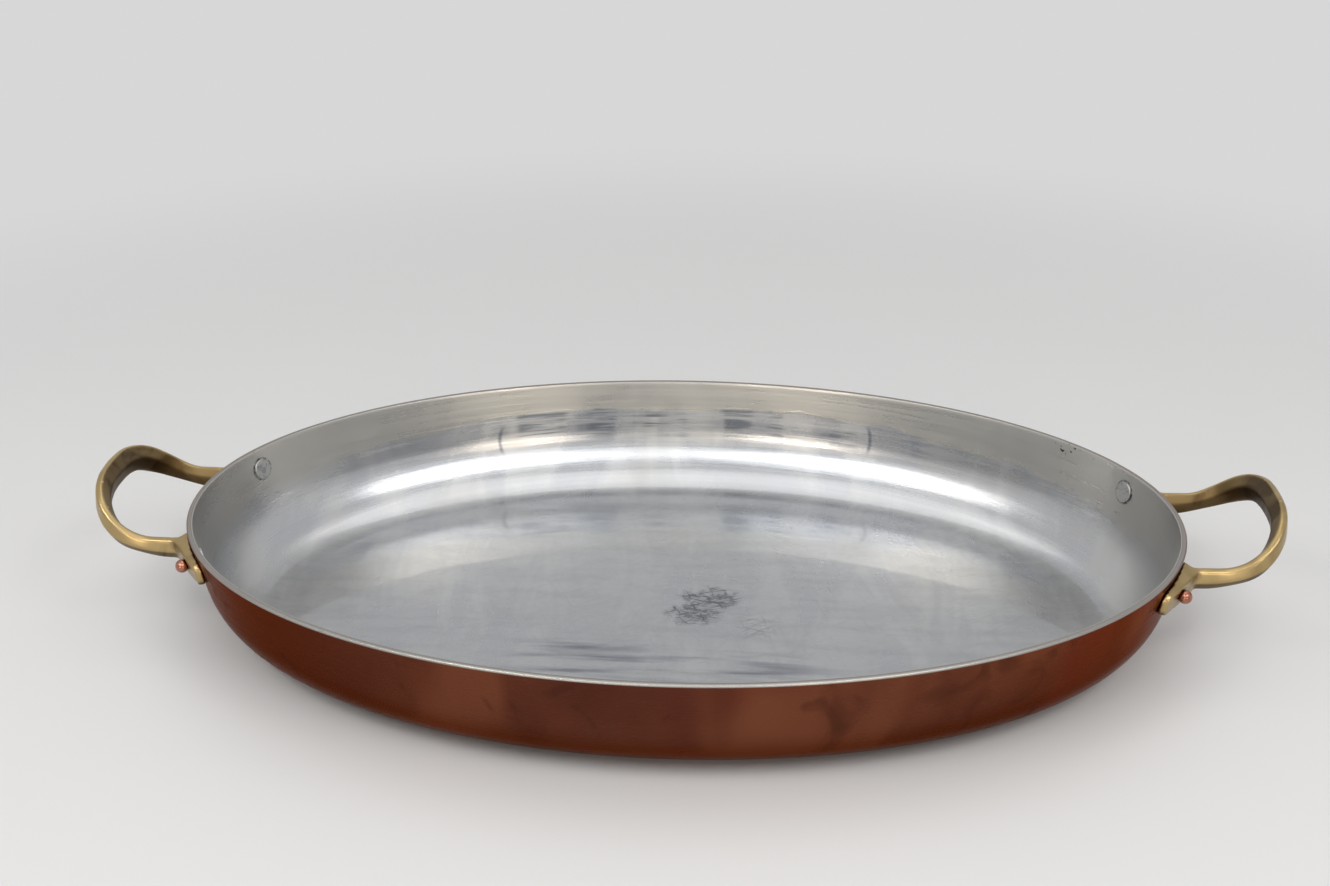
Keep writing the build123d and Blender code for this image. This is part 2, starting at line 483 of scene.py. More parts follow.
def heightOf(tree, where):
    # the upward part of a place or a direction
    place = addNode(tree, "ShaderNodeSeparateXYZ")
    feed(tree, place.inputs[0], where)
    return place.outputs["Z"]


def strongest(tree, masks):
    result = masks[0]
    for mask in masks[1:]:
        result = calc(tree, "MAXIMUM", result, mask)
    return result


def spotMask(tree, where, centre, size, edge):
    # one stain or scuff: 1 inside, fading from a share of its size to 0 at its size
    offset = vectorCalc(tree, "SUBTRACT", where, centre)
    scaled = vectorCalc(tree, "DIVIDE", offset, size)
    return remap(tree, vectorCalc(tree, "LENGTH", scaled), edge, 1.0, 1.0, 0.0, smooth=True)


def wipeMark(tree, where, middle, radius, side):
    # a curved stroke of the cloth: a short piece of a ring whose centre lies to one side
    centre = (middle[0] + side * radius, middle[1], middle[2])
    offLine = calc(tree, "SUBTRACT", vectorCalc(tree, "DISTANCE", where, centre), radius)
    stroke = remap(tree, calc(tree, "ABSOLUTE", offLine), *tinLook["wipeFade"], 1.0, 0.0, smooth=True)
    return calc(tree, "MULTIPLY", stroke, spotMask(tree, where, middle, tinLook["wipeSize"], 0.4))


tinLook = {
    "clean": (0.50, 0.51, 0.53, 1),
    "warm": (0.51, 0.497, 0.465, 1),
    "floor": (0.34, 0.35, 0.37, 1),
    "haze": (0.66, 0.66, 0.645, 1),
    "dull": (0.14, 0.16, 0.20, 1),
    "scuff": (0.08, 0.085, 0.095, 1),
    "rubbed": (0.17, 0.19, 0.225, 1),
    "lipHighlight": (0.70, 0.66, 0.57, 1),
    "crevice": (0.07, 0.065, 0.06, 1),
    "bandHeight": 0.034,
    "bandDropAtEnds": 0.010,
    "bandWander": 0.004,
    "bandBlur": 0.0009,
    "bandBlurAtEnds": 0.006,
    "lipWidth": 0.0008,
    "floorFade": (0.003, 0.006),
    "lowWallFade": (0.017, 0.027),
    "cloudShare": 0.45,
    "floorGrey": 0.75,
    "hazeOnWall": 0.45,
    "hazeOnFloor": 0.24,
    "wipeShare": 0.8,
    "patchShare": 0.95,
    "dragElsewhere": 0.13,
    "scuffElsewhere": 0.10,
    "headGap": 0.0002,
    "grimeFade": (0.0001, 0.0008),
    "roughness": 0.22,
    "bandRoughness": 0.25,
    "floorRoughness": 0.26,
    "glossRoughness": 0.045,
    "glossIndex": 2.3,
    # places on the dish: each stroke's middle, radius and side
    "wipes": (
        ((-0.0925, 0.108, 0.024), 0.013, 1),
        ((0.083, 0.112, 0.027), 0.017, -1),
    ),
    "wipeFade": (0.0002, 0.0013),
    "wipeSize": (0.010, 0.02, 0.008),
    # each spot's middle, size and the share of it where its edge starts to fade
    "dragSpots": (
        ((0.020, -0.054, 0.0024), (0.055, 0.026, 0.02), 0.1),
        ((-0.038, -0.046, 0.0024), (0.045, 0.022, 0.02), 0.1),
    ),
    "patchLobes": (
        ((0.0120, 0.0040, 0.0024), (0.017, 0.013, 0.02), 0.2),
        ((0.0058, -0.0085, 0.0024), (0.016, 0.013, 0.02), 0.1),
    ),
    "sideScuff": ((0.0315, -0.0165, 0.0024), (0.012, 0.014, 0.02), 0.2),
    "pitSpot": ((0.169, 0.066, 0.0455), (0.014, 0.014, 0.006), 0.5),
    # turn and length of each set of crossing scratches
    "scratches": ((0.25, 9.0), (-0.35, 7.0), (1.15, 8.0), (2.5, 10.0)),
}


def makeTin():
    material, tree, shader, where = newMaterial("wipedTin")
    height = heightOf(tree, where)
    streaks = useEffect(tree, ovalStreaks, {"Vector": where, "Around": 2.2, "Across": 330.0,
                                            "Low": 0.35, "High": 0.68})
    clouds = useEffect(tree, softPatches, {"Vector": where, "Scale": 16.0, "Warp": 1.0,
                                           "Low": 0.40, "High": 0.64})
    wander = useEffect(tree, softPatches, {"Vector": where, "Scale": 24.0, "Detail": 4.0,
                                           "Low": 0.2, "High": 0.8})
    # the polished lower wall is bluer, the wiped band under the rim is warm and dull
    place = addNode(tree, "ShaderNodeSeparateXYZ")
    feed(tree, place.inputs[0], where)
    endShare = calc(tree, "POWER", calc(tree, "DIVIDE", place.outputs["X"], dish["halfLength"]), 2.0)
    line = calc(tree, "MULTIPLY_ADD", endShare, -tinLook["bandDropAtEnds"], tinLook["bandHeight"])
    line = calc(tree, "MULTIPLY_ADD", wander, tinLook["bandWander"], line)
    aboveLine = calc(tree, "SUBTRACT", height, line)
    # its edge is sharp on the long sides and soft at the ends
    blur = calc(tree, "MULTIPLY_ADD", calc(tree, "POWER", endShare, 2.0), tinLook["bandBlurAtEnds"],
                tinLook["bandBlur"])
    band = remap(tree, aboveLine, calc(tree, "MULTIPLY", blur, -1.0), blur, smooth=True)
    floorShare = remap(tree, height, *tinLook["floorFade"], 1.0, 0.0, smooth=True)
    warmth = calc(tree, "MULTIPLY", clouds, tinLook["cloudShare"])
    colour = blendColour(tree, warmth, tinLook["clean"], tinLook["warm"])
    grey = calc(tree, "MULTIPLY", floorShare, tinLook["floorGrey"])
    colour = blendColour(tree, grey, colour, tinLook["floor"])
    # whiter hazes where the cloth went across the dish
    haze = useEffect(tree, softPatches, {"Vector": where, "Stretch": (1.7, 0.45, 0.6), "Scale": 26.0,
                                         "Warp": 0.8, "Low": 0.42, "High": 0.66})
    hazeShare = remap(tree, floorShare, 0.0, 1.0, tinLook["hazeOnWall"], tinLook["hazeOnFloor"])
    hazeShare = calc(tree, "MULTIPLY", haze, hazeShare)
    colour = blendColour(tree, hazeShare, colour, tinLook["haze"])
    # darker rubbed streaks low on the long walls, and two curved strokes of the cloth
    rubbed = useEffect(tree, ovalStreaks, {"Vector": where, "Around": 6.0, "Across": 420.0,
                                           "Low": 0.42, "High": 0.62})
    breaks = useEffect(tree, softPatches, {"Vector": where, "Stretch": (1.0, 0.3, 0.2), "Scale": 55.0,
                                           "Detail": 2.0, "Low": 0.38, "High": 0.56})
    sideShare = remap(tree, endShare, 0.10, 0.40, 0.85, 0.15, smooth=True)
    lowWall = calc(tree, "MULTIPLY", remap(tree, height, *tinLook["lowWallFade"], smooth=True), sideShare)
    lowWall = calc(tree, "MULTIPLY", lowWall, calc(tree, "MULTIPLY_ADD", breaks, 0.8, 0.2))
    colour = blendColour(tree, calc(tree, "MULTIPLY", lowWall, rubbed), colour, tinLook["rubbed"])
    wipes = strongest(tree, [wipeMark(tree, where, *wipe) for wipe in tinLook["wipes"]])
    wipes = calc(tree, "MULTIPLY", wipes, tinLook["wipeShare"])
    colour = blendColour(tree, wipes, colour, tinLook["rubbed"])
    colour = blendColour(tree, band, colour, tinLook["warm"])
    # a thin ridge of tin along the band's edge is smoother and raised, and its lighter colour is a painted
    # highlight
    lip = remap(tree, calc(tree, "ABSOLUTE", aboveLine), 0.0, tinLook["lipWidth"], 1.0, 0.0, smooth=True)
    lip = calc(tree, "MULTIPLY", lip, remap(tree, clouds, 0.1, 0.9, 0.15, 0.9))
    lip = calc(tree, "MULTIPLY", lip, remap(tree, endShare, 0.45, 0.85, 1.0, 0.0, smooth=True))
    colour = blendColour(tree, lip, colour, tinLook["lipHighlight"])
    # grey drag marks along the floor
    drag = useEffect(tree, softPatches, {"Vector": where, "Stretch": (0.30, 2.6, 1.0), "Scale": 60.0,
                                         "Detail": 8.0, "Warp": 0.3, "Low": 0.42, "High": 0.68})
    nearDrag = strongest(tree, [spotMask(tree, where, *spot) for spot in tinLook["dragSpots"]])
    nearDrag = remap(tree, nearDrag, 0.0, 1.0, tinLook["dragElsewhere"], 1.0)
    dragMask = calc(tree, "MULTIPLY", drag, nearDrag)
    colour = blendColour(tree, calc(tree, "MULTIPLY", dragMask, floorShare), colour, tinLook["dull"])
    # one worn patch, scratched across, and a few hair scratches beside it
    web = strongest(tree, [
        useEffect(tree, hairScratches, {"Vector": where, "Turn": turn, "Scale": 900.0,
                                        "Length": length, "Width": 0.09})
        for turn, length in tinLook["scratches"]
    ])
    patchCore = strongest(tree, [spotMask(tree, where, *lobe) for lobe in tinLook["patchLobes"]])
    uneven = useEffect(tree, softPatches, {"Vector": where, "Scale": 140.0, "Warp": 1.0,
                                           "Low": 0.36, "High": 0.56})
    patchCore = calc(tree, "MULTIPLY", patchCore, calc(tree, "MULTIPLY_ADD", uneven, 0.75, 0.25))
    patchNoise = useEffect(tree, softPatches, {"Vector": where, "Stretch": (0.6, 1.4, 1.0), "Scale": 480.0,
                                               "Detail": 8.0, "Warp": 0.3, "Low": 0.47, "High": 0.57})
    ragged = calc(tree, "MULTIPLY", remap(tree, patchCore, 0.12, 0.8), patchNoise)
    scratched = calc(tree, "MULTIPLY", remap(tree, patchCore, 0.05, 0.4), web)
    patch = calc(tree, "MAXIMUM", calc(tree, "MULTIPLY", ragged, 0.85), scratched)
    patch = calc(tree, "MAXIMUM", patch, remap(tree, patchCore, 0.2, 0.8, 0.0, 0.30, smooth=True))
    worn = calc(tree, "MULTIPLY", patch, tinLook["patchShare"])
    colour = blendColour(tree, worn, colour, tinLook["scuff"])
    sideScuff = calc(tree, "MULTIPLY_ADD", spotMask(tree, where, *tinLook["sideScuff"]), 0.45,
                     tinLook["scuffElsewhere"])
    strayMarks = calc(tree, "MULTIPLY", web, sideScuff)
    colour = blendColour(tree, calc(tree, "MULTIPLY", strayMarks, floorShare), colour, tinLook["scuff"])
    # a dark uneven line round each rivet head, and a few pits near the rim
    liningDepth = dish["copperThickness"] + dish["tinThickness"]
    toRivet = useEffect(tree, rivetDistance, {"Vector": where, "Spot": rivetSpot(liningDepth)})
    headEdge = rivetPlace["innerHeadRadius"] + tinLook["headGap"]
    ring = calc(tree, "ABSOLUTE", calc(tree, "SUBTRACT", toRivet, headEdge))
    grimeAndShade = useEffect(tree, softPatches, {"Vector": where, "Scale": 420.0, "Low": 0.30, "High": 0.62})
    ring = calc(tree, "MULTIPLY", remap(tree, ring, *tinLook["grimeFade"], 1.0, 0.0, smooth=True), grimeAndShade)
    colour = blendColour(tree, ring, colour, tinLook["crevice"])
    pitNoise = useEffect(tree, softPatches, {"Vector": where, "Scale": 620.0, "Detail": 1.0,
                                             "Low": 0.66, "High": 0.70})
    pits = calc(tree, "MULTIPLY", spotMask(tree, where, *tinLook["pitSpot"]), pitNoise)
    colour = blendColour(tree, pits, colour, tinLook["crevice"])
    feed(tree, shader.inputs["Base Color"], colour)
    shader.inputs["Metallic"].default_value = 1.0
    # streaks, hazes and wear all roughen the tin, and the floor has next to no streaks
    rough = remap(tree, band, 0.0, 1.0, tinLook["roughness"], tinLook["bandRoughness"])
    rough = remap(tree, floorShare, 0.0, 1.0, rough, tinLook["floorRoughness"])
    offFloor = calc(tree, "MULTIPLY_ADD", floorShare, -0.9, 1.0)
    rough = calc(tree, "MULTIPLY_ADD", calc(tree, "MULTIPLY", streaks, offFloor), 0.06, rough)
    rough = calc(tree, "MULTIPLY_ADD", clouds, 0.06, rough)
    rough = calc(tree, "MULTIPLY_ADD", haze, 0.04, rough)
    rough = calc(tree, "MULTIPLY_ADD", patch, 0.25, rough)
    feed(tree, shader.inputs["Roughness"], calc(tree, "MULTIPLY_ADD", lip, -0.10, rough))
    # the floor was wiped flat and still mirrors sharply through its haze
    marks = calc(tree, "MAXIMUM", dragMask, patch)
    gloss = calc(tree, "MULTIPLY", floorShare, calc(tree, "MULTIPLY_ADD", marks, -0.8, 0.9))
    gloss = calc(tree, "MULTIPLY", gloss, remap(tree, haze, 0.0, 1.0, 1.0, 0.7))
    feed(tree, shader.inputs["Coat Weight"], gloss)
    shader.inputs["Coat Roughness"].default_value = tinLook["glossRoughness"]
    shader.inputs["Coat IOR"].default_value = tinLook["glossIndex"]
    relief = calc(tree, "MULTIPLY", calc(tree, "MULTIPLY", streaks, 0.35), offFloor)
    relief = calc(tree, "MULTIPLY_ADD", calc(tree, "MULTIPLY", wander, lip), 0.8, relief)
    relief = calc(tree, "MULTIPLY_ADD", calc(tree, "MAXIMUM", ring, patch), -0.8, relief)
    feed(tree, shader.inputs["Normal"], useEffect(tree, metalGrain, {
        "Vector": where, "Scale": 950.0, "Grain": 0.45, "Height": relief, "Strength": 0.12,
    }))
    return material


copperLook = {
    "warm": (0.20, 0.066, 0.034, 1),
    "brown": (0.092, 0.027, 0.017, 1),
    "red": (0.145, 0.034, 0.021, 1),
    "smudgeAndShade": (0.042, 0.016, 0.012, 1),
    "edgeTint": (0.70, 0.48, 0.43, 1),
    "tinned": (0.37, 0.36, 0.34, 1),
    "burnt": (0.09, 0.04, 0.032, 1),
    "redShare": 0.85,
    "uprightShare": 0.60,
    "fingerShare": 0.45,
    "lowFade": (0.030, 0.002),
    "lowShare": 0.45,
    "baseFade": (0.0004, 0.0016),
    "scratchTurns": (0.1, 0.9, 1.9),
    "padShadeFade": (0.012, 0.020),
    "padShadeShare": 0.65,
    "tinnedFade": (0.0009, 0.0004),  # below the rim
    "roughness": 0.27,
}


def makeCopper():
    material, tree, shader, where = newMaterial("burnishedCopper")
    height = heightOf(tree, where)
    broad = useEffect(tree, softPatches, {"Vector": where, "Scale": 8.0, "Warp": 0.5,
                                          "Low": 0.36, "High": 0.66})
    upright = useEffect(tree, softPatches, {"Vector": where, "Stretch": (1.0, 1.0, 0.12), "Scale": 26.0,
                                            "Detail": 2.0, "Low": 0.44, "High": 0.60})
    redPatch = useEffect(tree, softPatches, {"Vector": where, "Stretch": (1.0, 1.0, 0.5), "Scale": 17.0,
                                             "Detail": 2.0, "Warp": 0.7, "Low": 0.52, "High": 0.66})
    fingerMark = useEffect(tree, softPatches, {"Vector": where, "Stretch": (1.0, 1.0, 0.7), "Scale": 42.0,
                                               "Detail": 4.0, "Warp": 1.4, "Low": 0.57, "High": 0.74})
    wheel = useEffect(tree, ovalStreaks, {"Vector": where, "Around": 3.0, "Across": 800.0})
    colour = blendColour(tree, broad, copperLook["brown"], copperLook["warm"])
    for mask, share, tone in ((redPatch, "redShare", "red"), (upright, "uprightShare", "brown"),
                              (fingerMark, "fingerShare", "smudgeAndShade")):
        colour = blendColour(tree, calc(tree, "MULTIPLY", mask, copperLook[share]), colour, copperLook[tone])
    # the side darkens toward the base, and the base itself is burnt by the hob
    low = remap(tree, height, *copperLook["lowFade"], 0.0, copperLook["lowShare"], smooth=True)
    colour = blendColour(tree, low, colour, copperLook["smudgeAndShade"])
    base = remap(tree, height, *copperLook["baseFade"], 1.0, 0.0, smooth=True)
    scorch = useEffect(tree, softPatches, {"Vector": where, "Scale": 11.0, "Detail": 5.0, "Warp": 1.5,
                                           "Low": 0.38, "High": 0.62})
    colour = blendColour(tree, calc(tree, "MULTIPLY", base, calc(tree, "MULTIPLY_ADD", scorch, 0.7, 0.15)),
                         colour, copperLook["burnt"])
    rub = strongest(tree, [
        useEffect(tree, hairScratches, {"Vector": where, "Turn": turn, "Scale": 640.0,
                                        "Length": 20.0, "Width": 0.06})
        for turn in copperLook["scratchTurns"]
    ])
    rub = calc(tree, "MULTIPLY", rub, calc(tree, "MULTIPLY_ADD", base, 0.35, 0.10))
    colour = blendColour(tree, rub, colour, copperLook["warm"])
    # painted shade: the copper round each handle's pad, in the corner under it, is darker
    toRivet = useEffect(tree, rivetDistance, {"Vector": where, "Spot": rivetSpot(0.0)})
    grimeAndShade = remap(tree, toRivet, *copperLook["padShadeFade"], copperLook["padShadeShare"], 0.0, smooth=True)
    colour = blendColour(tree, calc(tree, "MULTIPLY", grimeAndShade, broad), colour, copperLook["smudgeAndShade"])
    # the rim's top is tinned right to its outer edge
    edgeLow, edgeHigh = (dish["height"] - depth for depth in copperLook["tinnedFade"])
    edge = remap(tree, height, edgeLow, edgeHigh, smooth=True)
    colour = blendColour(tree, edge, colour, copperLook["tinned"])
    feed(tree, shader.inputs["Base Color"], colour)
    shader.inputs["Metallic"].default_value = 1.0
    shader.inputs["Specular Tint"].default_value = copperLook["edgeTint"]
    rough = calc(tree, "MULTIPLY_ADD", fingerMark, 0.14, copperLook["roughness"])
    rough = calc(tree, "MULTIPLY_ADD", broad, -0.05, rough)
    rough = calc(tree, "MULTIPLY_ADD", wheel, 0.05, rough)
    rough = calc(tree, "MULTIPLY_ADD", calc(tree, "MAXIMUM", base, edge), 0.14, rough)
    feed(tree, shader.inputs["Roughness"], rough)
    relief = calc(tree, "MULTIPLY_ADD", rub, -0.6, calc(tree, "MULTIPLY", wheel, 0.10))
    feed(tree, shader.inputs["Normal"], useEffect(tree, metalGrain, {
        "Vector": where, "Scale": 600.0, "Grain": 0.3, "Height": relief, "Strength": 0.08,
    }))
    return material


brassLook = {
    "gold": (0.45, 0.33, 0.158, 1),
    "bright": (0.64, 0.51, 0.30, 1),
    "dark": (0.075, 0.045, 0.018, 1),
    "gapMiddle": 0.212,  # the finger gap's middle, along the dish
    "insideFade": (0.25, 0.8),
    "insideShare": 0.85,
    "underFade": (-0.05, -0.6),
    "underShare": 0.80,
    "hollowFade": (0.45, 0.50),
    "hollowShare": 0.8,
    "patinaShare": 0.28,
    "wornFade": (0.52, 0.57),
    "wornShare": 0.6,
    "ringFade": (0.0026, 0.0038),
    "ringShare": 0.75,
    "faceHeight": 0.004,  # the pad's face above the copper, at the rivet
    "roughness": 0.31,
}


def makeBrass():
    material, tree, shader, where = newMaterial("castBrass")
    surface = addNode(tree, "ShaderNodeNewGeometry").outputs
    patina = useEffect(tree, softPatches, {"Vector": where, "Scale": 60.0, "Detail": 4.0, "Warp": 0.8,
                                           "Low": 0.42, "High": 0.70})
    # painted shade: the faces inside the loop and under it are coloured dark brown
    place = addNode(tree, "ShaderNodeSeparateXYZ")
    feed(tree, place.inputs[0], where)
    gapMiddle = calc(tree, "MULTIPLY", calc(tree, "SIGN", place.outputs["X"]), brassLook["gapMiddle"])
    toGap = addNode(tree, "ShaderNodeCombineXYZ")
    feed(tree, toGap.inputs[0], calc(tree, "SUBTRACT", gapMiddle, place.outputs["X"]))
    feed(tree, toGap.inputs[1], calc(tree, "MULTIPLY", place.outputs["Y"], -1.0))
    inward = vectorCalc(tree, "NORMALIZE", toGap.outputs[0])
    facingGap = vectorCalc(tree, "DOT_PRODUCT", surface["Normal"], inward)
    inside = remap(tree, facingGap, *brassLook["insideFade"], smooth=True)
    facingUp = heightOf(tree, surface["True Normal"])
    under = remap(tree, facingUp, *brassLook["underFade"], smooth=True)
    # hollows are darkened as painted shade, and the ridges that hands rub are bright
    hollow = remap(tree, surface["Pointiness"], *brassLook["hollowFade"], brassLook["hollowShare"], 0.0)
    shadeAndPatina = strongest(tree, [calc(tree, "MULTIPLY", inside, brassLook["insideShare"]),
                            calc(tree, "MULTIPLY", under, brassLook["underShare"]), hollow])
    # uneven patches of real patina on top of the painted shade
    shadeAndPatina = calc(tree, "MULTIPLY_ADD", patina, brassLook["patinaShare"], shadeAndPatina)
    colour = blendColour(tree, shadeAndPatina, brassLook["gold"], brassLook["dark"])
    worn = remap(tree, surface["Pointiness"], *brassLook["wornFade"], 0.0, brassLook["wornShare"])
    colour = blendColour(tree, worn, colour, brassLook["bright"])
    toRivet = useEffect(tree, rivetDistance, {"Vector": where, "Spot": rivetSpot(-brassLook["faceHeight"])})
    ring = remap(tree, toRivet, *brassLook["ringFade"], brassLook["ringShare"], 0.0, smooth=True)
    colour = blendColour(tree, ring, colour, brassLook["dark"])
    feed(tree, shader.inputs["Base Color"], colour)
    shader.inputs["Metallic"].default_value = 1.0
    rough = calc(tree, "MULTIPLY_ADD", shadeAndPatina, 0.12, brassLook["roughness"])
    feed(tree, shader.inputs["Roughness"], rough)
    filed = useEffect(tree, hairScratches, {"Vector": where, "Turn": 1.2, "Scale": 700.0, "Length": 12.0,
                                            "Width": 0.08})
    feed(tree, shader.inputs["Normal"], useEffect(tree, metalGrain, {
        "Vector": where, "Scale": 420.0, "Grain": 0.25, "Height": calc(tree, "MULTIPLY", filed, -0.3),
        "Strength": 0.05,
    }))
    return material


rivetLook = {
    "pink": (0.48, 0.215, 0.15, 1),
    "brown": (0.22, 0.08, 0.052, 1),
    "tinned": (0.50, 0.495, 0.48, 1),
    "wearShare": 0.55,
    "headDepth": 0.0034,  # the flat head's face, below the copper's outside
    "tinnedReach": (0.0054, 0.0058),
    "dentShare": 0.45,
    "roughness": 0.24,
}


def makeRivetCopper():
    material, tree, shader, where = newMaterial("rivetCopper")
    wear = useEffect(tree, softPatches, {"Vector": where, "Scale": 330.0, "Low": 0.40, "High": 0.68})
    wornShare = calc(tree, "MULTIPLY", wear, rivetLook["wearShare"])
    colour = blendColour(tree, wornShare, rivetLook["pink"], rivetLook["brown"])
    toHead = useEffect(tree, rivetDistance, {"Vector": where, "Spot": rivetSpot(rivetLook["headDepth"])})
    tinned = remap(tree, toHead, *rivetLook["tinnedReach"], 1.0, 0.0)
    colour = blendColour(tree, tinned, colour, rivetLook["tinned"])
    # the hammer's last blows on the flat head are smeared with tin
    blows = useEffect(tree, softPatches, {"Vector": where, "Scale": 520.0, "Detail": 2.0, "Warp": 0.8,
                                          "Low": 0.50, "High": 0.60})
    dent = calc(tree, "MULTIPLY", blows, tinned)
    dented = calc(tree, "MULTIPLY", dent, rivetLook["dentShare"])
    colour = blendColour(tree, dented, colour, tinLook["dull"])
    feed(tree, shader.inputs["Base Color"], colour)
    shader.inputs["Metallic"].default_value = 1.0
    rough = calc(tree, "MULTIPLY_ADD", tinned, 0.14, rivetLook["roughness"])
    feed(tree, shader.inputs["Roughness"], rough)
    feed(tree, shader.inputs["Normal"], useEffect(tree, metalGrain, {
        "Vector": where, "Scale": 800.0, "Grain": 0.4, "Height": calc(tree, "MULTIPLY", dent, -0.9),
        "Strength": 0.18,
    }))
    return material


copperMaterial = makeCopper()
tinMaterial = makeTin()
brassMaterial = makeBrass()
rivetMaterial = makeRivetCopper()
print("materials made")

# Dish

ovalTree = buildOvalTree()
copperShell = makeDishSkin("copperShell", 0.0, dish["waveDepth"], dish["copperSeed"], copperMaterial)
giveThickness(copperShell, 0.0, dish["copperThickness"], True, dish["rimRound"])
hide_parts("pan_body")
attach(copperShell, "root")

insideOutset = -dish["copperThickness"] - dish["tinThickness"]
tinWaveDepth = dish["waveDepth"] * dish["tinWaveFactor"]
tinSkin = makeDishSkin("tinSkin", insideOutset, tinWaveDepth, dish["tinSeed"], tinMaterial)
tinSkinThickness = dish["tinThickness"] * dish["tinSkinShare"]
giveThickness(tinSkin, insideOutset, tinSkinThickness, False, dish["tinEdgeRound"])
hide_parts("tin_lining")
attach(tinSkin, "root")
print("dish made")

# Handles and rivets: the castings' edges are softened and the rivets' heads are hammered

def buildWorkedTree():
    tree = bpy.data.node_groups.new("workedByHand", "GeometryNodeTree")
    addInput(tree, "Solid", "NodeSocketGeometry")
    addInput(tree, "Depth", "NodeSocketFloat", 0.0001)
    addInput(tree, "Scale", "NodeSocketFloat", 100.0)
    addInput(tree, "Seed", "NodeSocketFloat", 0.0)
    addInput(tree, "Material", "NodeSocketMaterial")
    tree.interface.new_socket(name="Geometry", in_out="OUTPUT", socket_type="NodeSocketGeometry")
    given = addNode(tree, "NodeGroupInput").outputs
    noise = addNode(tree, "ShaderNodeTexNoise", noise_dimensions="4D")
    feed(tree, noise.inputs["W"], given["Seed"])
    feed(tree, noise.inputs["Scale"], given["Scale"])
    noise.inputs["Detail"].default_value = 1.0
    # nearly all inward, so that no blow lifts the surface past the solid
    blow = calc(tree, "MULTIPLY", calc(tree, "SUBTRACT", noise.outputs[0], 0.85), given["Depth"])
    push = addNode(tree, "ShaderNodeVectorMath", operation="SCALE")
    feed(tree, push.inputs[0], addNode(tree, "GeometryNodeInputNormal").outputs[0])
    feed(tree, push.inputs["Scale"], blow)
    worked = addNode(tree, "GeometryNodeSetPosition")
    feed(tree, worked.inputs["Geometry"], given["Solid"])
    feed(tree, worked.inputs["Offset"], push.outputs[0])
    return finishTree(tree, worked.outputs[0], given["Material"])


handle = {
    "grain": 0.00045,  # size of the remesh
    "softening": 22,  # passes of smoothing
    "depth": 0.00022,
    "scale": 70.0,
    "pieces": (("leftHandle", "handle_left", 1.0), ("rightHandle", "handle_right", 6.0)),
}

rivet = {
    "grain": 0.00016,
    "softening": 3,
    "depth": 0.00016,
    "scale": 330.0,
    "firstSeed": 2.0,
}


def softenSolid(name, node, sizes, seed, material):
    piece = bpy.data.objects.new(name, nodeObjects[node].data.copy())
    scene.collection.objects.link(piece)
    closeAndTurnOut(piece)
    remesh = piece.modifiers.new("remesh", "REMESH")
    remesh.mode = "VOXEL"
    remesh.voxel_size = sizes["grain"]
    soften = piece.modifiers.new("soften", "SMOOTH")
    soften.factor = 0.5
    soften.iterations = sizes["softening"]
    bakeModifiers(piece)
    shapeWith(piece, workedTree, {"Depth": sizes["depth"], "Scale": sizes["scale"], "Seed": seed,
                                  "Material": material})
    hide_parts(node)
    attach(piece, "root")
    return piece


workedTree = buildWorkedTree()
for name, node, seed in handle["pieces"]:
    casting = softenSolid(name, node, handle, seed, brassMaterial)
print("handles made")

rivetNodes = [node for node in nodeObjects if node.startswith("rivet")]
for index, node in enumerate(sorted(rivetNodes)):
    words = node.split("_")
    name = words[1] + words[2].capitalize() + "Rivet"
    hammered = softenSolid(name, node, rivet, rivet["firstSeed"] + index, rivetMaterial)
print("rivets made")

# Floor, light and camera

stage = {
    "floorColour": (0.80, 0.80, 0.80, 1),
    "backColour": (0.68, 0.68, 0.685, 1),
    "floorRoughness": 0.7,
    "size": 8.0,
    "fadeStart": 0.38,
    "fadeEnd": 0.78,
    "roomStrength": 0.56,
}

# name, place, size, power and colour of each lamp; all of them point at the dish
lamps = (
    ("leftSoftbox", (-0.62, -0.75, 1.15), (0.95, 0.60), 4.2, (0.94, 0.97, 1.0)),
    ("rightSoftbox", (0.66, -0.75, 1.15), (0.95, 0.60), 4.2, (0.94, 0.97, 1.0)),
    ("leftLowLamp", (-0.45, -1.50, 0.34), (0.24, 0.10), 1.9, (1.0, 0.88, 0.72)),
    ("rightLowLamp", (0.62, -1.45, 0.34), (0.24, 0.10), 1.9, (1.0, 0.88, 0.72)),
    ("leftGlint", (-0.62, -0.58, 1.02), (0.34, 0.05), 0.80, (1.0, 0.87, 0.68)),
    ("rightGlint", (0.62, -0.58, 1.02), (0.34, 0.05), 0.80, (1.0, 0.87, 0.68)),
    ("frontSoftbox", (0.0, -0.95, 1.02), (1.90, 0.35), 2.8, (1.0, 1.0, 1.0)),
    ("topSoftbox", (0.0, 0.30, 1.60), (1.20, 1.20), 4.0, (1.0, 0.99, 0.97)),
)


def seenRays(tree):
    # 1 for what the lens, metal or glass sees, 0 for the light that falls on the pan
    rays = addNode(tree, "ShaderNodeLightPath").outputs
    seen = calc(tree, "MAXIMUM", rays["Is Camera Ray"], rays["Is Glossy Ray"])
    return calc(tree, "MAXIMUM", seen, rays["Is Transmission Ray"])


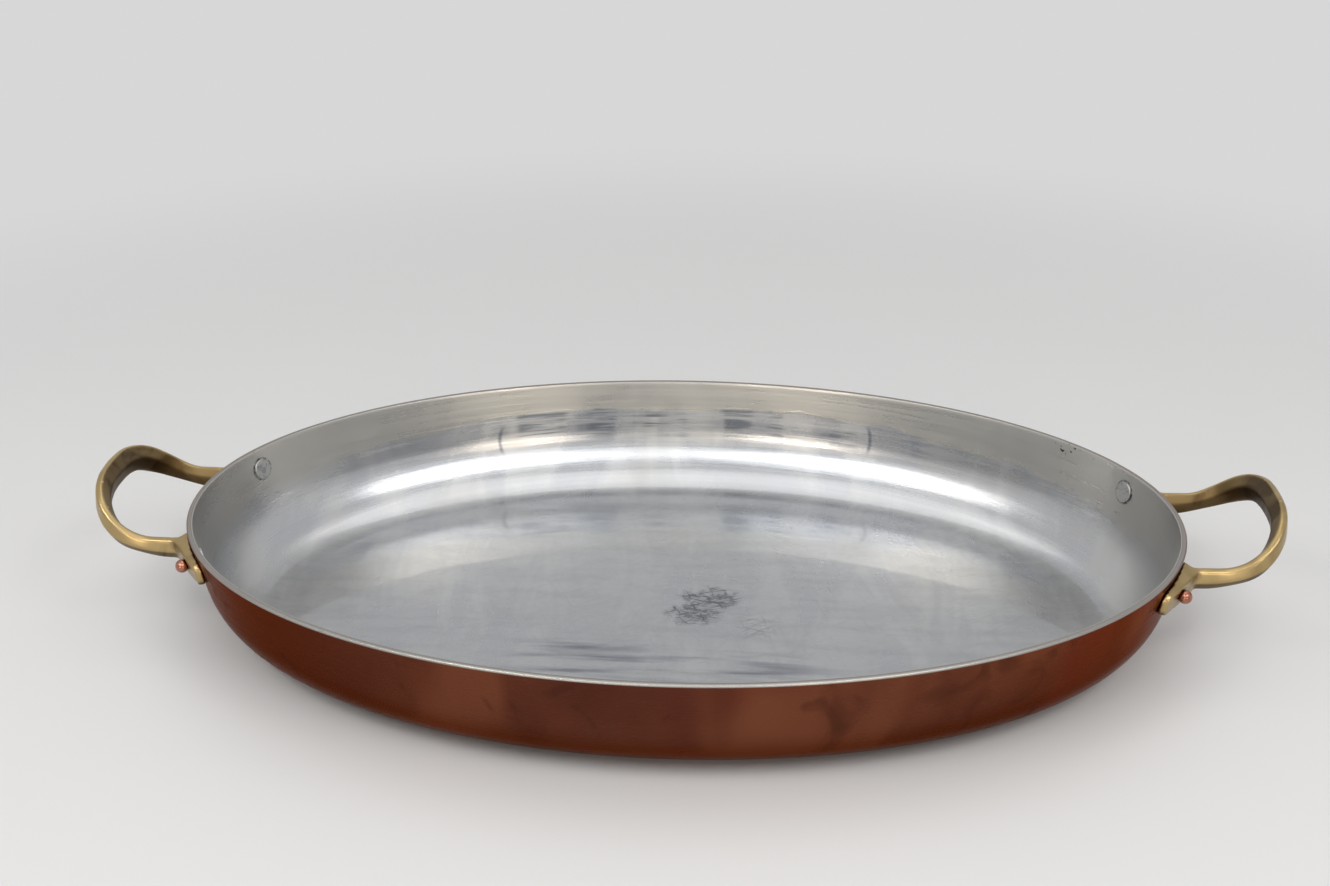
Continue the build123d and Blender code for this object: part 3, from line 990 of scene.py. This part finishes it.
def makeStage():
    floorMaterial, tree, shader, where = newMaterial("paleFloor")
    shader.inputs["Base Color"].default_value = stage["floorColour"]
    shader.inputs["Roughness"].default_value = stage["floorRoughness"]
    # away from the pan the floor takes on the backdrop's even tone
    away = remap(tree, vectorCalc(tree, "LENGTH", where), stage["fadeStart"], stage["fadeEnd"], smooth=True)
    glow = addNode(tree, "ShaderNodeEmission")
    glow.inputs["Color"].default_value = stage["backColour"]
    blend = addNode(tree, "ShaderNodeMixShader")
    feed(tree, blend.inputs[0], calc(tree, "MULTIPLY", away, seenRays(tree)))
    feed(tree, blend.inputs[1], shader.outputs[0])
    feed(tree, blend.inputs[2], glow.outputs[0])
    feed(tree, tree.nodes["Material Output"].inputs["Surface"], blend.outputs[0])
    mesh = bpy.data.meshes.new("floor")
    half = stage["size"] / 2
    corners = [(-half, -half, 0), (half, -half, 0), (half, half, 0), (-half, half, 0)]
    mesh.from_pydata(corners, [], [(0, 1, 2, 3)])
    floor = bpy.data.objects.new("floor", mesh)
    scene.collection.objects.link(floor)
    mesh.materials.append(floorMaterial)


def makeWorld():
    world = bpy.data.worlds.new("paleRoom")
    scene.world = world
    world.use_nodes = True
    tree = world.node_tree
    background = tree.nodes["Background"]
    background.inputs["Color"].default_value = stage["backColour"]
    strength = remap(tree, seenRays(tree), 0.0, 1.0, stage["roomStrength"], 1.0)
    feed(tree, background.inputs["Strength"], strength)


def addLamp(name, place, size, power, colour):
    lamp = bpy.data.lights.new(name, "AREA")
    lamp.shape = "RECTANGLE"
    lamp.size, lamp.size_y = size
    lamp.energy = power
    lamp.color = colour
    piece = bpy.data.objects.new(name, lamp)
    scene.collection.objects.link(piece)
    piece.location = place
    piece.rotation_euler = Vector(place).to_track_quat("Z", "Y").to_euler()


# where the lens stood in the photo, fitted to the rim, the lower outline and the rivets; angles in radians
cameraFit = {
    "focalPixels": 1590.62,
    "imageWidth": 1330,
    "distance": 0.64566,
    "elevation": 0.479058,
    "yaw": -0.057135,
    "roll": -0.001656,
    "turnSide": -0.0098625,
    "turnUp": 0.0391046,
    "sensorWidth": 36.0,
    "nearest": 0.01,
}


def makeCamera():
    fit = cameraFit
    rise = fit["elevation"]
    forward = Vector((0, math.cos(rise), -math.sin(rise)))
    up = Vector((0, math.sin(rise), math.cos(rise)))
    right = Vector((1, 0, 0))
    place = -forward * fit["distance"]
    side = right * math.cos(fit["turnSide"]) - forward * math.sin(fit["turnSide"])
    ahead = right * math.sin(fit["turnSide"]) + forward * math.cos(fit["turnSide"])
    top = up * math.cos(fit["turnUp"]) - ahead * math.sin(fit["turnUp"])
    ahead = up * math.sin(fit["turnUp"]) + ahead * math.cos(fit["turnUp"])
    cosRoll, sinRoll = math.cos(fit["roll"]), math.sin(fit["roll"])
    rolledSide = side * cosRoll - top * sinRoll
    rolledTop = side * sinRoll + top * cosRoll
    turn = Matrix.Rotation(-fit["yaw"], 3, "Z")
    axes = Matrix((turn @ rolledSide, turn @ rolledTop, turn @ -ahead)).transposed()
    lens = bpy.data.cameras.new("photoCamera")
    lens.sensor_width = fit["sensorWidth"]
    lens.lens = fit["focalPixels"] * fit["sensorWidth"] / fit["imageWidth"]
    lens.clip_start = fit["nearest"]
    camera = bpy.data.objects.new("photoCamera", lens)
    scene.collection.objects.link(camera)
    aim = Vector((0, 0, dish["height"]))
    camera.matrix_world = Matrix.Translation(turn @ place + aim) @ axes.to_4x4()
    scene.camera = camera


makeStage()
makeWorld()
for lampValues in lamps:
    addLamp(*lampValues)
makeCamera()
print("stage and camera made")
